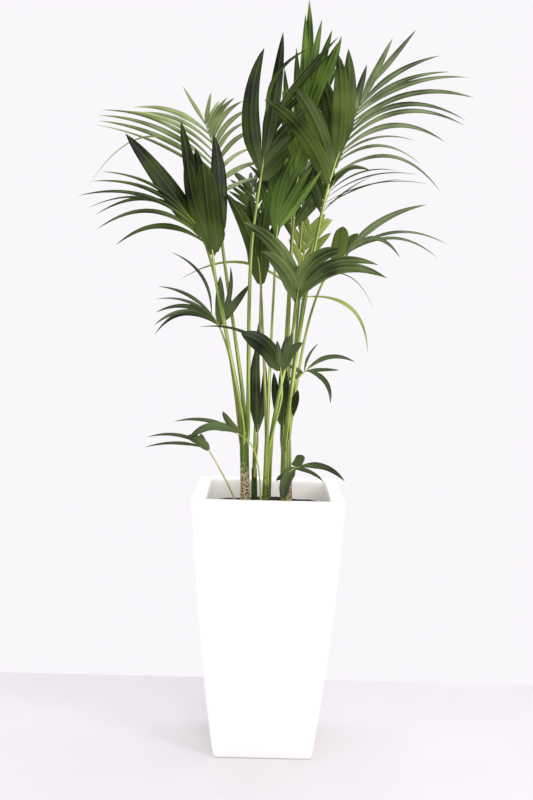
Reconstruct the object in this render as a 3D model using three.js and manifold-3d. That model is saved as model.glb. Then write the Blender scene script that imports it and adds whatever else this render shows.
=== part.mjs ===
// A kentia palm about 2.1 m high: a clump of five green stems, twenty-four fronds on long
// stalks, in a tall white planter whose square rim narrows to a smaller square foot.
// Millimetres, +Z up, front towards -Y. The origin is the middle of the planter's flat
// underside.

import * as THREE from 'three';
import Module from 'manifold-3d';

const wasm = await Module();
wasm.setup();
const { Manifold, Mesh: SolidMesh } = wasm;

// ---------------------------------------------------------------- sizes

const GAP = 0.3; // clearance between neighbouring solids

const PLANTER = {
  height: 750,
  rimHalf: 210, // half of the square rim
  footHalf: 140.5, // half of the square foot
  swell: 29.5, // how far the sides bulge out over a straight taper
  corner: 9, // radius of the upright corners
  edge: 4, // rounding at the foot and round the rim
  floor: 14,
  wallAtFoot: 14,
  wallAtRim: 38,
};

const SOIL = {
  wallLevel: 684, // where the soil meets the planter's wall
  topLevel: 705, // flat top of the root ball
  topRadius: 122,
};

// Each stem leans from its foot on the root ball to the top where its stalks spread.
const STEMS = {
  a: { foot: [-65, -20], top: [-74, -12, 915], radius: [13.5, 12.5], colour: 0x6f7f3c },
  b: { foot: [-41, 45], top: [-43, 42, 800], radius: [9, 8], colour: 0x33512b },
  c: { foot: [-6, -45], top: [-2, -48, 900], radius: [12.5, 11.5], colour: 0x7f9a45 },
  d: { foot: [58, 10], top: [50, 14, 890], radius: [12.5, 11.5], colour: 0x64703a },
  e: { foot: [48, 75], top: [46, 72, 885], radius: [13, 12], colour: 0x55743a },
};

const STALK = {
  radius: 4.4, // at its foot
  tipRadius: 3.2, // where the leaflets begin
  shootRadius: 3, // on the thin young shoots
  neck: 15, // bare end of the rachis below the first leaflet
};

const ROOT_SPACING = 3; // least distance between leaflets along their rachis
const SCATTER = [7, 100, 7]; // how far a leaflet's tip in a row may stray to either side

// One entry a frond. at: where its leaflets begin. head and rise: the way it points there, as
// a bearing from +X and an angle above level. arch: how far it bends down over its length,
// sway: how far it bends sideways. A leaflet is [share along the rachis, tip, width, how far it
// bows to its left as a share of its length, how far its upper side turns from the front to
// the sky in degrees]. Those in leaves stand alone; a row has a count and the key leaflets
// between which that many are worked out. A frond behind has leaflets by rule on each side
// instead: pairs, leaf (longest), wide, open (angle to the rachis at the first and at the
// last) and limp (how far they droop).
const FRONDS = {
  left_feather: {
    stem: 'a', at: [-165, 90, 1590], head: 112, rise: 82, arch: 46, long: 270, seed: 11,
    leaves: [
      [1.0, [-285, 215, 1925], 16, 0, 0],
      [0.12, [-540, 55, 1605], 16, -0.38, 40],
    ],
    rows: [
      {
        count: 7,
        keys: [
          [0.8, [-425, 220, 1860], 25, -0.12, 40],
          [0.38, [-495, 75, 1815], 24, -0.12, 40],
          [0.17, [-540, 140, 1800], 25, -0.07, 40],
        ],
      },
      {
        count: 11,
        keys: [
          [0.98, [-200, 210, 1910], 18, 0, 0],
          [0.71, [-110, 200, 1880], 23, 0.13, 30],
          [0.39, [-60, 120, 1805], 24, 0.14, 30],
          [0.03, [-40, 150, 1665], 24, 0.06, 30],
        ],
      },
    ],
  },
  left_low: {
    stem: 'a', at: [-190, -40, 1440], head: 215, rise: 68, arch: 30, long: 110, seed: 12,
    leaves: [
      [0.29, [-415, -90, 1740], 59, -0.02, 0],
      [0.52, [-320, 15, 1665], 17, 0, 30],
    ],
    rows: [
      {
        count: 7,
        keys: [
          [0.59, [-470, -120, 1640], 15, -0.13, 40],
          [0.42, [-540, -50, 1570], 16, -0.15, 40],
          [0.27, [-515, 10, 1520], 18, -0.24, 40],
          [0.11, [-450, -75, 1445], 19, -0.2, 40],
        ],
      },
    ],
  },
  left_upright: {
    stem: 'a', at: [-170, -60, 1410], head: 180, rise: 84, arch: 10, long: 60, seed: 13,
    leaves: [
      [0.46, [-270, -10, 1790], 51, 0.02, 0],
      [0.42, [-245, -110, 1685], 56, 0.05, 0],
      [0.26, [-230, 10, 1720], 55, 0.0, 0],
      [0.22, [-200, -120, 1665], 74, 0, 0],
      [0.11, [-175, -50, 1750], 54, -0.05, 0],
    ],
  },
  centre_upright: {
    stem: 'a', at: [-55, -90, 1525], head: 50, rise: 79, arch: 0, long: 270, seed: 14,
    radius: 5.2,
    leaves: [
      [0.45, [-40, -100, 1975], 56, 0.1, 0],
      [0.52, [10, -50, 2030], 47, -0.01, 0],
      [0.93, [90, -95, 1980], 18, 0.2, 10],
      [0.98, [165, -30, 2025], 26, 0.03, 10],
      [0.85, [155, 15, 1995], 21, 0.05, 10],
    ],
    rows: [
      {
        count: 4,
        keys: [
          [0.69, [110, 25, 1905], 30, 0.08, 10],
          [0.38, [35, -105, 1700], 37, 0, 0],
        ],
      },
    ],
  },
  top_back: {
    stem: 'e', at: [60, 60, 1625], head: 20, rise: 85, arch: 0, long: 290, seed: 15,
    leaves: [
      [0.7, [180, 115, 2060], 30, -0.05, 0],
    ],
    rows: [
      {
        count: 4,
        keys: [
          [0.25, [25, 120, 1990], 30, 0.02, 0],
          [0.59, [90, 45, 2150], 36, -0.02, 0],
        ],
      },
      {
        count: 4,
        keys: [
          [0.72, [120, 45, 2085], 29, 0, 0],
          [0.45, [180, 125, 1985], 37, 0.02, 0],
        ],
      },
      {
        count: 4,
        keys: [
          [0.27, [10, 100, 1915], 36, 0, 0],
          [0.03, [-20, 170, 1730], 41, 0, 0],
        ],
      },
      {
        count: 3,
        keys: [
          [0.23, [130, 140, 1920], 37, 0, 0],
          [0.09, [100, 60, 1795], 39, 0, 0],
        ],
      },
    ],
  },
  right_large: {
    stem: 'd', at: [140, -10, 1585], head: 10, rise: 78, arch: 24, sway: 25, long: 400, seed: 16,
    radius: 5.4,
    leaves: [
      [0.15, [465, -5, 1610], 18, 0.26, 30],
      [0.28, [395, 35, 1755], 11, 0.15, 30],
    ],
    rows: [
      {
        count: 5,
        keys: [
          [0.08, [-30, -100, 1830], 53, -0.09, 0],
          [0.22, [115, 25, 1950], 61, -0.05, 0],
          [0.34, [195, -30, 1990], 48, -0.04, 0],
        ],
      },
      {
        count: 3,
        keys: [
          [0.52, [250, -10, 1970], 26, 0, 0],
          [0.88, [380, 60, 2060], 20, 0, 0],
        ],
      },
      {
        count: 9,
        keys: [
          [0.69, [460, 80, 2000], 20, 0.09, 25],
          [0.58, [540, -45, 1890], 17, 0.12, 30],
          [0.42, [550, 65, 1820], 21, 0.19, 30],
          [0.25, [410, -85, 1690], 19, 0.22, 30],
        ],
      },
    ],
  },
  right_fine: {
    stem: 'e', at: [135, 110, 1545], head: 15, rise: 74, arch: 10, long: 110, seed: 17,
    leaves: [
      [0.84, [280, 140, 1680], 22, 0.26, 20],
    ],
    rows: [
      {
        count: 5,
        keys: [
          [0.67, [365, 175, 1675], 7, 0.13, 30],
          [0.35, [440, 85, 1640], 7, 0.1, 30],
          [0.06, [295, 170, 1665], 7, 0.05, 30],
        ],
      },
      {
        count: 3,
        keys: [
          [0.35, [120, 175, 1690], 19, 0, 0],
          [0.03, [90, 100, 1630], 17, 0, 0],
        ],
      },
    ],
  },
  right_low: {
    stem: 'd', at: [180, 50, 1405], head: 5, rise: 50, arch: 20, long: 60, bend: [0, 10],
    seed: 18,
    leaves: [
      [0.07, [195, 30, 1510], 49, -0.02, 0],
      [0.38, [245, 100, 1495], 30, 0.05, 0],
      [0.42, [440, 70, 1580], 27, 0.11, 15],
      [0.69, [510, 125, 1470], 13, 0.16, 35],
      [0.66, [465, 0, 1425], 13, 0.2, 35],
      [0.59, [355, -40, 1420], 16, 0.3, 35],
    ],
  },
  front_arching: {
    stem: 'c', at: [65, -120, 1290], head: 275, rise: 62, arch: 34, long: 60, seed: 19,
    radius: 5,
    leaves: [
      [0.04, [-35, -230, 1425], 44, -0.1, 20],
      [0.38, [-90, -165, 1505], 43, -0.13, 10],
      [0.78, [180, -170, 1435], 45, 0.17, 20],
      [0.41, [275, -235, 1395], 31, 0.2, 25],
      [0.16, [295, -275, 1360], 34, 0.2, 25],
      [0.81, [275, -120, 1280], 7, 0.33, 40],
    ],
  },
  centre_inner: {
    stem: 'c', at: [5, -70, 1450], head: 60, rise: 86, arch: 10, long: 130, seed: 20,
    rows: [
      {
        count: 7,
        keys: [
          [0.26, [-40, -5, 1635], 32, 0, 0],
          [0.18, [45, -120, 1695], 37, 0.08, 0],
          [0.31, [125, -25, 1660], 25, 0.0, 0],
        ],
      },
    ],
  },
  centre_low: {
    stem: 'c', at: [-35, -40, 1330], head: 250, rise: 80, arch: 20, long: 90, seed: 21,
    leaves: [
      [0.1, [-140, -60, 1590], 47, -0.07, 0],
      [0.12, [-70, -10, 1585], 61, 0, 0],
      [0.14, [-25, -80, 1555], 44, 0.02, 0],
      [0.4, [25, 10, 1545], 35, 0.03, 0],
    ],
  },
  left_small: {
    stem: 'a', at: [-145, -10, 1203], head: 180, rise: 68, arch: 20, long: 60, bend: [0, 20],
    seed: 22,
    leaves: [
      [0.95, [-295, 20, 1425], 12, -0.17, 30],
      [0.18, [-150, -40, 1360], 28, 0, 0],
      [0.3, [-65, 20, 1340], 26, 0, 0],
      [0.38, [-125, 50, 1390], 18, -0.08, 0],
    ],
    rows: [
      {
        count: 5,
        keys: [
          [0.81, [-335, 40, 1325], 14, -0.09, 30],
          [0.53, [-330, -70, 1245], 19, -0.18, 30],
          [0.32, [-340, 10, 1190], 19, -0.24, 30],
        ],
      },
    ],
  },
  right_slender: {
    stem: 'd', at: [85, 60, 1290], head: 0, rise: 85, arch: 0, long: 20, seed: 26,
    leaves: [
      [0.35, [-280, 120, 1345], 13, -0.22, 40],
      [0.84, [275, 0, 1150], 20, 0.27, 40],
    ],
  },
  front_small: {
    stem: 'c', at: [30, -110, 1055], head: 250, rise: 80, arch: 10, long: 60, seed: 23,
    leaves: [
      [0.73, [-200, -210, 1220], 15, -0.175, 15],
      [0.85, [-85, -180, 1205], 52, -0.12, 10],
    ],
    rows: [
      {
        count: 4,
        keys: [
          [0.95, [20, -85, 1190], 18, 0, 0],
          [0.9, [50, -125, 1220], 20, 0, 0],
          [0.75, [85, -170, 1175], 30, 0.1, 0],
        ],
      },
    ],
  },
  spear_left: {
    stem: 'b', at: [-35, 30, 895], head: 90, rise: 88, arch: 0, long: 40, seed: 27,
    leaves: [
      [0.71, [-40, 30, 1230], 26, 0.02, 0],
      [0.42, [-50, 50, 1145], 29, 0.03, 0],
      [0.56, [-20, 10, 1125], 26, -0.03, 0],
    ],
  },
  spear_right: {
    foot: [42, 44], at: [40, 50, 915], head: 90, rise: 88, arch: 0, long: 40, seed: 28,
    leaves: [
      [0.51, [35, 50, 1115], 36, 0, 0],
    ],
    rows: [
      {
        count: 3,
        keys: [
          [0.2, [15, 30, 1090], 29, 0.03, 0],
          [0.49, [80, 70, 1050], 29, -0.03, 0],
        ],
      },
    ],
  },
  right_small: {
    stem: 'd', at: [90, 20, 1085], head: 0, rise: 48, arch: 20, long: 35, seed: 24,
    leaves: [
      [0.25, [135, 20, 1175], 9, 0.1, 0],
      [0.53, [245, 50, 1120], 16, 0.18, 20],
      [0.32, [195, -10, 1100], 12, 0.03, 20],
      [0.45, [170, -30, 1005], 16, 0.2, 20],
      [0.08, [45, 40, 1110], 12, 0, 0],
      [0.0, [45, 20, 1065], 12, 0, 0],
    ],
  },
  shoot_left: {
    foot: [-89, -60], at: [-170, -60, 865], head: 160, rise: 56, arch: 20, long: 20, seed: 30,
    leaves: [
      [0.57, [-345, -95, 905], 13, -0.12, 30],
      [0.46, [-360, -20, 865], 12, -0.08, 30],
      [0.17, [-235, -90, 910], 25, -0.1, 10],
      [0.28, [-195, -60, 915], 19, 0.1, 0],
    ],
  },
  shoot_front: {
    foot: [-18, -80], at: [-70, -70, 905], head: 170, rise: 40, arch: 10, long: 30, seed: 31,
    leaves: [
      [0.89, [-275, -45, 945], 17, -0.115, 30],
      [0.96, [-230, -95, 900], 25, -0.2, 10],
      [0.87, [-135, -65, 980], 21, 0.05, 0],
    ],
  },
  shoot_right: {
    foot: [57, -42], at: [70, -60, 820], head: 10, rise: 34, arch: 30, long: 20, seed: 32,
    leaves: [
      [0.36, [95, -60, 860], 31, 0, 0],
      [0.82, [215, -75, 790], 19, 0.16, 20],
      [0.0, [155, -100, 790], 15, 0.1, 20],
      [0.02, [45, -90, 740], 34, -0.1, 0],
      [0.04, [20, -60, 785], 18, 0, 0],
    ],
  },
  back_tall: {
    stem: 'e', at: [50, 125, 1485], head: 95, rise: 78, arch: 46, long: 330, bend: [-5, 5],
    seed: 41,
    left: { pairs: 9, leaf: 230, wide: 28, open: [28, 14], limp: 0.9 },
    right: { pairs: 9, leaf: 230, wide: 28, open: [28, 14], limp: 0.9 },
  },
  back_right: {
    stem: 'e', at: [85, 115, 1400], head: 70, rise: 78, arch: 30, long: 120, seed: 42,
    left: { pairs: 4, leaf: 110, wide: 24, open: [36, 24], limp: 0.8 },
    right: { pairs: 4, leaf: 125, wide: 26, open: [44, 26], limp: 0.8 },
  },
  back_left: {
    stem: 'b', at: [-40, 105, 1480], head: 112, rise: 80, arch: 40, long: 190, seed: 43,
    left: { pairs: 9, leaf: 115, wide: 13, open: [60, 30], limp: 0.6 },
    right: { pairs: 9, leaf: 115, wide: 13, open: [45, 24], limp: 0.6 },
  },
  back_high: {
    stem: 'e', at: [80, 150, 1515], head: 84, rise: 74, arch: 50, long: 265, seed: 44,
    left: { pairs: 8, leaf: 240, wide: 28, open: [28, 14], limp: 1.2 },
    right: { pairs: 8, leaf: 240, wide: 28, open: [28, 14], limp: 1.2 },
  },
};

// ---------------------------------------------------------------- small helpers

const vec = (x, y, z) => new THREE.Vector3(x, y, z);
const rad = THREE.MathUtils.degToRad;
const mix = THREE.MathUtils.lerp;
const DOWN = vec(0, 0, -1);

function makeRandom(seed) {
  let state = seed;
  return () => {
    state = (state * 16807) % 2147483647;
    return (state / 2147483647) * 2 - 1;
  };
}

// a minus its part along the unit vector d
function across(a, d) {
  return a.clone().addScaledVector(d, -a.dot(d));
}

// A closed solid through rings of equally many points; a ring of one point is a tip.
function loft(rings) {
  const points = [];
  const faces = [];
  const starts = [];
  for (const ring of rings) {
    starts.push(points.length);
    points.push(...ring);
  }
  for (let k = 0; k + 1 < rings.length; k += 1) {
    const count = rings[k].length;
    const a = starts[k];
    const b = starts[k + 1];
    for (let i = 0; i < count; i += 1) {
      const j = (i + 1) % count;
      if (rings[k + 1].length === 1) {
        faces.push([a + i, a + j, b]);
      } else {
        faces.push([a + i, a + j, b + j], [a + i, b + j, b + i]);
      }
    }
  }
  for (let i = 1; i + 1 < rings[0].length; i += 1) {
    faces.push([0, i + 1, i]);
  }
  const last = starts.at(-1);
  for (let i = 1; i + 1 < rings.at(-1).length; i += 1) {
    faces.push([last, last + i, last + i + 1]);
  }
  const mesh = new SolidMesh({
    numProp: 3,
    vertProperties: new Float32Array(points.flatMap((p) => [p.x, p.y, p.z])),
    triVerts: new Uint32Array(faces.flat()),
  });
  const solid = new Manifold(mesh);
  if (solid.volume() < 0) {
    throw new Error('a ring runs the wrong way round');
  }
  return solid;
}

// A tapering round limb along points. Its flat ends face along the two directions given.
function limb(points, radii, sides, first, last) {
  const rings = [];
  let side = vec(1, 0, 0);
  for (let k = 0; k < points.length; k += 1) {
    const before = points[Math.max(k - 1, 0)];
    const after = points[Math.min(k + 1, points.length - 1)];
    const along = after.clone().sub(before).normalize();
    if (first && k === 0) {
      along.copy(first);
    }
    if (last && k === points.length - 1) {
      along.copy(last);
    }
    side = across(side, along).normalize();
    const other = along.clone().cross(side);
    const ring = [];
    for (let i = 0; i < sides; i += 1) {
      const turn = (2 * Math.PI * i) / sides;
      ring.push(
        points[k].clone()
          .addScaledVector(side, radii[k] * Math.cos(turn))
          .addScaledVector(other, radii[k] * Math.sin(turn)),
      );
    }
    rings.push(ring);
  }
  return loft(rings);
}

// The largest closed body of a solid, without loose scraps or sealed hollows.
function mainBody(solid) {
  const bodies = solid.decompose();
  bodies.sort((a, b) => b.volume() - a.volume());
  return bodies[0];
}

// ---------------------------------------------------------------- planter and soil

function planterHalf(z) {
  const t = z / PLANTER.height;
  const straight = mix(PLANTER.footHalf, PLANTER.rimHalf, t);
  return straight + PLANTER.swell * t * (1 - t);
}

function cavityHalf(z) {
  const t = z / PLANTER.height;
  return planterHalf(z) - mix(PLANTER.wallAtFoot, PLANTER.wallAtRim, t * t);
}

// A square ring with rounded corners; with the corner as large as the half it is a circle.
function squareRing(half, corner, z) {
  const ring = [];
  for (let quarter = 0; quarter < 4; quarter += 1) {
    const middle = rad(45 + 90 * quarter);
    const inset = (half - corner) * Math.SQRT2;
    for (const turn of [-41, -14, 14, 41]) {
      const angle = middle + rad(turn);
      ring.push(vec(
        inset * Math.cos(middle) + corner * Math.cos(angle),
        inset * Math.sin(middle) + corner * Math.sin(angle),
        z,
      ));
    }
  }
  return ring;
}

// Heights at which the cavity's walls bend, from the soil's edge down.
const CAVITY_BENDS = [SOIL.wallLevel, 600, 400, 200, 60];

function makePlanter() {
  const { height, corner, edge, floor } = PLANTER;
  const rings = [squareRing(planterHalf(0) - edge, corner - edge * 0.7, 0)];
  for (const z of [edge, 50, 120, 200, 300, 400, 500, 600, 680, height - edge]) {
    rings.push(squareRing(planterHalf(z), corner, z));
  }
  rings.push(squareRing(planterHalf(height) - edge, corner - edge * 0.7, height));
  rings.push(squareRing(cavityHalf(height) + edge, corner + edge, height));
  for (const z of [height - edge, ...CAVITY_BENDS, floor]) {
    rings.push(squareRing(cavityHalf(z), corner, z));
  }
  return loft(rings);
}

function makeSoil() {
  const { floor, corner } = PLANTER;
  const rings = [];
  for (const z of [floor + GAP, ...CAVITY_BENDS.toReversed()]) {
    rings.push(squareRing(cavityHalf(z) - GAP, corner, z));
  }
  const rise = SOIL.topLevel - SOIL.wallLevel;
  rings.push(squareRing(150, 70, SOIL.wallLevel + rise * 0.55));
  rings.push(squareRing(SOIL.topRadius, SOIL.topRadius, SOIL.topLevel));
  return loft(rings);
}

// ---------------------------------------------------------------- stems and stalks

const FOOT_LEVEL = SOIL.topLevel + GAP;

function makeStem(stem) {
  const foot = vec(...stem.foot, FOOT_LEVEL);
  const top = vec(...stem.top);
  const rings = [];
  for (const t of [0, 0.05, 0.3, 0.65, 1]) {
    const middle = foot.clone().lerp(top, t);
    const flare = t === 0 ? 1.5 : 0;
    const radius = mix(stem.radius[0], stem.radius[1], t) + flare;
    rings.push(Array.from({ length: 10 }, (_, i) => vec(
      middle.x + radius * Math.cos((2 * Math.PI * i) / 10),
      middle.y + radius * Math.sin((2 * Math.PI * i) / 10),
      middle.z,
    )));
  }
  return loft(rings);
}

// Tangent, sideways and upper-face directions of a frond's blade at share s of its rachis.
function frondFrame(frond, s) {
  const rise = rad(frond.rise - frond.arch * s);
  const head = rad(frond.head + (frond.sway ?? 0) * s);
  const along = vec(
    Math.cos(rise) * Math.cos(head),
    Math.cos(rise) * Math.sin(head),
    Math.sin(rise),
  );
  const side = vec(Math.sin(head), -Math.cos(head), 0);
  const face = side.clone().cross(along);
  return { along, side, face };
}

const footRadius = (frond) => frond.radius ?? (frond.stem ? STALK.radius : STALK.shootRadius);

// Where each stalk stands: in a ring on its stem's top, in the order in which they leave it.
function stalkFeet() {
  const feet = {};
  for (const [key, stem] of Object.entries(STEMS)) {
    const top = vec(...stem.top);
    const names = Object.keys(FRONDS).filter((name) => FRONDS[name].stem === key);
    const bearing = {};
    for (const name of names) {
      const [x, y] = FRONDS[name].at;
      bearing[name] = (Math.atan2(y - top.y, x - top.x) + 2 * Math.PI) % (2 * Math.PI);
    }
    names.sort((a, b) => bearing[a] - bearing[b]);
    const step = (2 * Math.PI) / names.length;
    let cosSum = 0;
    let sinSum = 0;
    names.forEach((name, i) => {
      cosSum += Math.cos(bearing[name] - i * step);
      sinSum += Math.sin(bearing[name] - i * step);
    });
    const start = Math.atan2(sinSum, cosSum);
    const widest = Math.max(...names.map((name) => footRadius(FRONDS[name])));
    const ring = (2 * widest + 1.6) / (2 * Math.sin(Math.PI / names.length));
    names.forEach((name, i) => {
      const turn = start + i * step;
      feet[name] = vec(top.x + ring * Math.cos(turn), top.y + ring * Math.sin(turn), top.z + GAP);
    });
  }
  for (const [name, frond] of Object.entries(FRONDS)) {
    if (frond.foot) {
      feet[name] = vec(...frond.foot, FOOT_LEVEL);
    }
  }
  return feet;
}

// The curve of a stalk from its foot to the place where the frond's rachis takes over.
function stalkCurve(frond, foot) {
  const { along } = frondFrame(frond, 0);
  const end = vec(...frond.at).addScaledVector(along, -STALK.neck);
  const reach = end.distanceTo(foot);
  const leave = end.clone().sub(foot).normalize().add(vec(0, 0, 0.8)).normalize();
  const [bendX, bendY] = frond.bend ?? [0, 0];
  const bend = vec(bendX, bendY, 0);
  return new THREE.CubicBezierCurve3(
    foot,
    foot.clone().addScaledVector(leave, reach * 0.3).add(bend),
    end.clone().addScaledVector(along, -reach * 0.233).add(bend),
    end,
  );
}

function makeStalk(frond, foot) {
  const points = stalkCurve(frond, foot).getSpacedPoints(8);
  const thick = footRadius(frond);
  const thin = Math.min(thick * 0.75, STALK.tipRadius * 1.25);
  const radii = points.map((_, k) => mix(thick, thin, k / 8));
  return limb(points, radii, 6, vec(0, 0, 1), frondFrame(frond, 0).along);
}

// ---------------------------------------------------------------- fronds

const RACHIS_STEPS = 24;

function rachisPoints(frond) {
  const points = [vec(...frond.at)];
  for (let i = 0; i < RACHIS_STEPS; i += 1) {
    const { along } = frondFrame(frond, (i + 0.5) / RACHIS_STEPS);
    points.push(points.at(-1).clone().addScaledVector(along, frond.long / RACHIS_STEPS));
  }
  return points;
}

function makeRachis(frond) {
  const { along } = frondFrame(frond, 0);
  const line = rachisPoints(frond);
  const start = line[0].clone().addScaledVector(along, GAP - STALK.neck);
  const picks = frond.long > 150 ? [0, 6, 12, 18, 24] : [0, 12, 24];
  const points = [start, ...picks.map((k) => line[k])];
  const thick = Math.min(footRadius(frond) * 0.75, STALK.tipRadius * 1.25);
  const radii = points.map((_, k) => mix(thick, 1.9, k / (points.length - 1)));
  return limb(points, radii, 4, along);
}

// Length of a leaflet as a share of the longest, at share t of the rachis.
function lengthShare(t, end) {
  if (t > 0.35) {
    return 1 - (1 - end) * ((t - 0.35) / 0.65) ** 2;
  }
  return 1 - 0.2 * ((0.35 - t) / 0.35) ** 2;
}

// Width of a leaflet as a share of its widest, at share u of its length. The broader it is, as
// width by length, the blunter its tip.
function widthShare(u, slim) {
  const power = 1.7 + 15 * Math.max(slim - 0.03, 0);
  const widening = 0.14 + 0.8 * slim + (1.5 + 8 * slim) * u;
  return Math.min(widening, 1) * Math.max(0, 1 - u ** power) ** 0.9;
}

function pointAt(line, t) {
  const place = t * (line.length - 1);
  const k = Math.min(Math.floor(place), line.length - 2);
  return line[k].clone().lerp(line[k + 1], place - k);
}

const LEAF_STEPS = 10;

// The path of a leaflet to a known tip, bowed to its left by arch.
function aimedPath(root, tip, arch, tilt, spin) {
  const span = tip.clone().sub(root);
  const left = vec(-span.z, 0, span.x).normalize();
  const middle = root.clone().add(tip).multiplyScalar(0.5);
  middle.addScaledVector(left, 2 * arch * span.length());
  const curve = new THREE.QuadraticBezierCurve3(root, middle, tip);
  const path = [];
  const upper = vec(0, -Math.cos(tilt), Math.sin(tilt));
  for (let k = 0; k <= LEAF_STEPS; k += 1) {
    const u = k / LEAF_STEPS;
    const direction = middle.clone().sub(root).multiplyScalar(1 - u);
    direction.addScaledVector(tip.clone().sub(middle), u).normalize();
    upper.copy(across(upper, direction)).normalize();
    if (k === 0) {
      const edge = upper.clone().cross(direction);
      upper.multiplyScalar(Math.cos(spin)).addScaledVector(edge, Math.sin(spin));
    }
    path.push({ point: curve.getPoint(u), direction, upper: upper.clone() });
  }
  return path;
}

// The path of a leaflet that leaves in a direction, droops by limp and bends back to along.
function freePath(root, start, face, along, length, limp) {
  const point = root.clone();
  const direction = start.clone();
  const upper = face.clone();
  const path = [];
  for (let k = 0; k <= LEAF_STEPS; k += 1) {
    const u = k / LEAF_STEPS;
    upper.copy(across(upper, direction)).normalize();
    path.push({ point: point.clone(), direction: direction.clone(), upper: upper.clone() });
    point.addScaledVector(direction, length / LEAF_STEPS);
    const droop = across(DOWN, direction);
    direction.addScaledVector(droop, (limp * (0.5 + u)) / LEAF_STEPS).normalize();
    const inward = across(along, direction);
    if (inward.length() > 1e-6) {
      direction.addScaledVector(inward.normalize(), rad(8) / LEAF_STEPS).normalize();
    }
  }
  return path;
}

// The leaflets of one side of a frond that has them by rule.
function sideLeaflets(frond, side, spec, line, random) {
  const leaflets = [];
  for (let i = 0; i < spec.pairs; i += 1) {
    const [r0, r1, r2, r3, r4] = Array.from({ length: 5 }, random);
    const t = (i + (side < 0 ? 0 : 0.35)) / (spec.pairs - 1 + 0.35);
    const share = lengthShare(t, 0.58);
    const angle = rad(mix(spec.open[0], spec.open[1], t ** 0.8) + 5 * r0);
    const lift = rad(10 + 4 * r1);
    const turn = rad(-18 * side + 8 * r4);
    const { along, side: out, face } = frondFrame(frond, t);
    const sideways = out.multiplyScalar(side);
    const leave = sideways.clone().multiplyScalar(Math.cos(lift));
    leave.addScaledVector(face, Math.sin(lift));
    const direction = along.clone().multiplyScalar(Math.cos(angle));
    direction.addScaledVector(leave, Math.sin(angle));
    const upper = face.clone().multiplyScalar(Math.cos(lift));
    upper.addScaledVector(sideways, -Math.sin(lift));
    upper.copy(across(upper, direction)).normalize();
    const edge = upper.clone().cross(direction);
    upper.multiplyScalar(Math.cos(turn)).addScaledVector(edge, Math.sin(turn));
    const length = spec.leaf * share * (1 + 0.07 * r2);
    const limp = spec.limp * share ** 1.5 * (1 + 0.25 * r3);
    leaflets.push({
      path: freePath(pointAt(line, t), direction, upper, along, length, limp),
      width: spec.wide * (0.6 + 0.4 * share),
      length,
    });
  }
  return leaflets;
}

// The leaflet at a share of a row that runs through key leaflets.
function between(keys, share) {
  const place = share * (keys.length - 1);
  const k = Math.min(Math.floor(place), keys.length - 2);
  const blend = (a, b) => (Array.isArray(a) ? a.map((v, i) => blend(v, b[i])) : mix(a, b, place - k));
  return blend(keys[k], keys[k + 1]);
}

// Places along a rachis in the same order as before, but at least a gap apart.
function spreadOut(shares, gap) {
  const order = shares.map((_, i) => i).sort((a, b) => shares[a] - shares[b]);
  const placed = [...shares];
  for (let i = 1; i < order.length; i += 1) {
    placed[order[i]] = Math.max(placed[order[i]], placed[order[i - 1]] + gap);
  }
  const reach = Math.max(1, ...placed);
  return placed.map((share) => share / reach);
}

// Every leaflet of a frond: its path, its width and its length.
function leafletsOf(frond) {
  const random = makeRandom(frond.seed);
  const line = rachisPoints(frond);
  const aimed = [...(frond.leaves ?? [])];
  for (const { count, keys } of frond.rows ?? []) {
    for (let i = 0; i < count; i += 1) {
      const [t, tip, ...rest] = between(keys, i / (count - 1));
      aimed.push([t, tip.map((value, axis) => value + SCATTER[axis] * random()), ...rest]);
    }
  }
  const places = spreadOut(aimed.map(([t]) => t), ROOT_SPACING / frond.long);
  const leaflets = aimed.map(([, tip, width, arch, turn], i) => {
    const root = pointAt(line, places[i]);
    const tilt = rad(turn + 12 * random());
    const spin = rad(26 * random());
    const end = vec(...tip);
    return { path: aimedPath(root, end, arch, tilt, spin), width, length: root.distanceTo(end) };
  });
  if (frond.left) {
    leaflets.push(...sideLeaflets(frond, -1, frond.left, line, random));
    leaflets.push(...sideLeaflets(frond, 1, frond.right, line, random));
  }
  return leaflets;
}

// A leaflet as a thin three-sided blade with a ridge, grown by an allowance all round.
function makeLeaflet({ path, width, length }, allowance = 0) {
  const stations = length > 120 ? [0, 1, 4, 7] : [0, 2, 6];
  const thick = Math.max(length / 90, 1.2);
  const rings = stations.map((k) => {
    const { point, direction, upper } = path[k];
    const u = k / LEAF_STEPS;
    const edge = upper.clone().cross(direction);
    const root = k === 0 ? 0.8 : Infinity; // the root stays inside the rachis
    const half = Math.min(width * 0.5 * widthShare(u, width / length), root) + 2 * allowance;
    const high = Math.min(thick * (0.65 - 0.25 * u), root) + allowance;
    const low = -Math.min(0.35 * thick, root) - allowance;
    return [
      point.clone().addScaledVector(edge, half).addScaledVector(upper, low),
      point.clone().addScaledVector(upper, high),
      point.clone().addScaledVector(edge, -half).addScaledVector(upper, low),
    ];
  });
  const { point, direction } = path.at(-1);
  rings.push([point.clone().addScaledVector(direction, allowance)]);
  return loft(rings);
}

// ---------------------------------------------------------------- keeping pieces apart

const obstacles = [];

function boxesMeet(a, b) {
  return [0, 1, 2].every((i) => a.min[i] <= b.max[i] && b.min[i] <= a.max[i]);
}

function addObstacle(owner, solid) {
  obstacles.push({ owner, solid, box: solid.boundingBox() });
}

function isBlocked(owner, solid) {
  const box = solid.boundingBox();
  return obstacles.some((other) => (
    other.owner !== owner
    && boxesMeet(box, other.box)
    && !solid.intersect(other.solid).isEmpty()
  ));
}

// Small turns that a leaflet may take to pass its neighbours: sideways and up, in degrees.
const SIDESTEPS = [
  [0, 0], [0, 6], [0, -6], [6, 0], [-6, 0], [0, 12], [0, -12], [9, 9], [-9, 9],
  [9, -9], [-9, -9], [0, 18], [0, -18], [14, 0], [-14, 0],
];

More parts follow.
